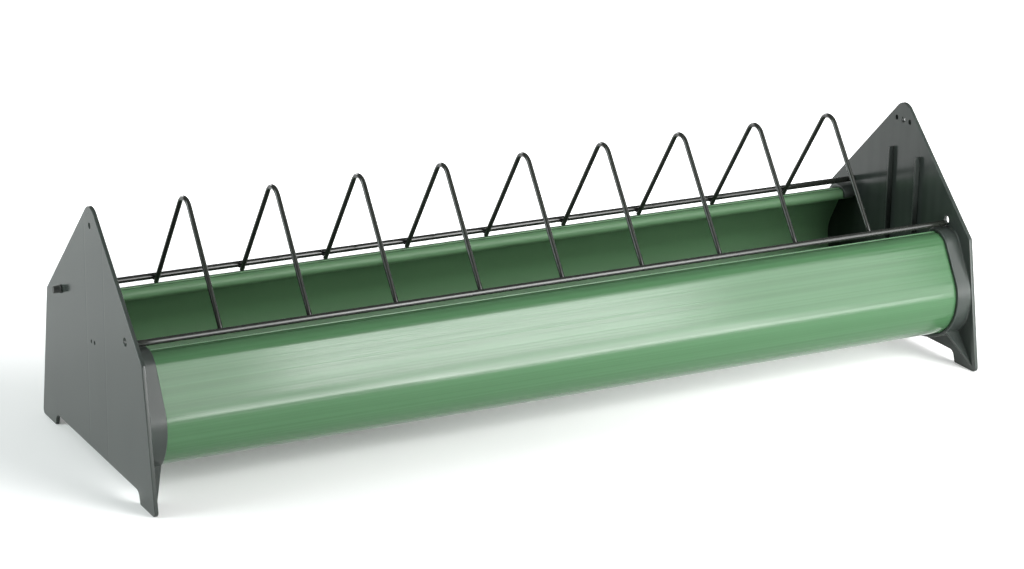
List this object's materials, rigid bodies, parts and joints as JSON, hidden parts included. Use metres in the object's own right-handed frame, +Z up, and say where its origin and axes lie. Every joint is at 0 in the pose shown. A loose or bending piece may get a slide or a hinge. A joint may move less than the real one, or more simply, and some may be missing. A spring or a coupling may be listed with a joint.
{
  "type": "chicken feeder",
  "caption": "Long trough feeder for poultry: extruded trough between two moulded end plates, under a hinged guard of wire loops.",
  "frame": {"origin": "on the ground below the middle of the trough, the bottom centre of the whole feeder's box", "axes": "+X along the trough to the right end plate, +Y to the hinge side of the guard, +Z up"},
  "size_m": [0.7634, 0.2496, 0.2088],
  "materials": {
    "trough_plastic": "green extruded plastic, satin, with fine lines along its length",
    "plate_plastic": "black moulded plastic, smooth, with faint flow and sink marks",
    "guard_wire": "black coating, satin",
    "cap_plastic": "black plastic, dull"
  },
  "bodies": {
    "feeder": {"trough": "trough_plastic", "left_end_plate": "plate_plastic", "right_end_plate": "plate_plastic"},
    "guard": {"front_rod": "guard_wire", "back_rod": "guard_wire", "guard_loop_1": "guard_wire", "guard_loop_2": "guard_wire", "guard_loop_3": "guard_wire", "guard_loop_4": "guard_wire", "guard_loop_5": "guard_wire", "guard_loop_6": "guard_wire", "guard_loop_7": "guard_wire", "guard_loop_8": "guard_wire", "guard_loop_9": "guard_wire", "left_rod_cap": "cap_plastic", "right_rod_cap": "cap_plastic"}
  },
  "joints": [
    {"name": "guard_hinge", "type": "hinge", "parent": "feeder", "child": "guard", "pos_m": [0, 0.07112, 0.12226], "axis": [-1, 0, 0], "range_deg": [0, 165]}
  ]
}
